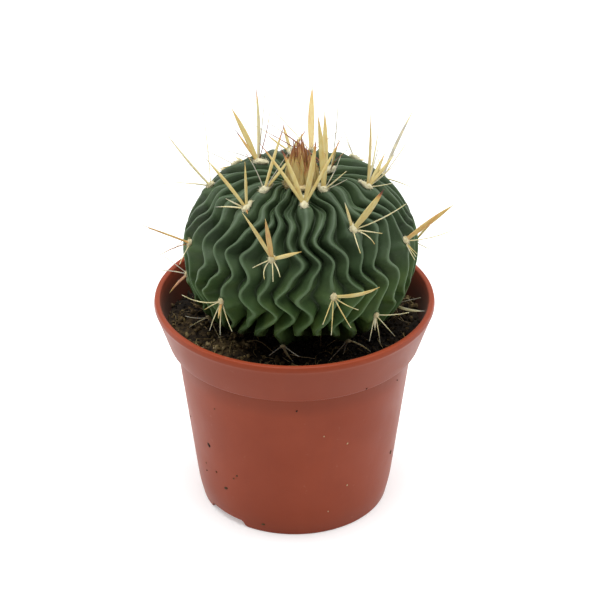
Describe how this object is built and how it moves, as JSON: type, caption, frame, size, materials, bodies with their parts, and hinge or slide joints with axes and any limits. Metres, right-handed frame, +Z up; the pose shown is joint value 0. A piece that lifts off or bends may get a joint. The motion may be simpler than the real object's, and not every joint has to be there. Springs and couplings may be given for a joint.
{
  "type": "potted round cactus",
  "caption": "Potted globe cactus with thin wavy ribs, woolly areoles and flat golden spines, in a round tapered plastic nursery pot with soil.",
  "frame": {"origin": "middle of the pot's underside, on the pot's axis, at the height of the surface it stands on", "axes": "+Z up along the pot's axis, -Y towards the front of the plant"},
  "size_m": [0.0949, 0.089, 0.1302],
  "materials": {
    "pot_plastic": "satin terracotta-brown moulded plastic",
    "soil": "dark damp peat with brown fibres",
    "cactus_flesh": "waxy dark green skin with paler grey-green rib crests",
    "spines_and_wool": "straw-gold spines with brown tips, and cream wool",
    "crown_spines": "young orange-brown spines with dark red-brown tips, and cream wool"
  },
  "bodies": {
    "root": {"pot": "pot_plastic", "soil": "soil", "cactus_body": "cactus_flesh", "crown_tuft": "crown_spines", "areole_00": "spines_and_wool", "areole_01": "spines_and_wool", "areole_02": "spines_and_wool", "areole_03": "spines_and_wool", "areole_04": "spines_and_wool", "areole_05": "spines_and_wool", "areole_06": "spines_and_wool", "areole_07": "spines_and_wool", "areole_08": "spines_and_wool", "areole_09": "spines_and_wool", "areole_10": "spines_and_wool", "areole_11": "spines_and_wool", "areole_12": "spines_and_wool", "areole_13": "spines_and_wool", "areole_14": "spines_and_wool", "areole_15": "spines_and_wool", "areole_16": "spines_and_wool", "areole_17": "spines_and_wool", "areole_18": "spines_and_wool", "areole_19": "spines_and_wool", "areole_20": "spines_and_wool", "areole_21": "spines_and_wool", "areole_22": "spines_and_wool", "areole_23": "spines_and_wool", "areole_24": "spines_and_wool", "areole_25": "spines_and_wool", "areole_26": "spines_and_wool", "areole_27": "spines_and_wool", "areole_28": "spines_and_wool", "areole_29": "spines_and_wool", "areole_30": "spines_and_wool", "areole_31": "spines_and_wool", "areole_32": "spines_and_wool"}
  },
  "joints": []
}
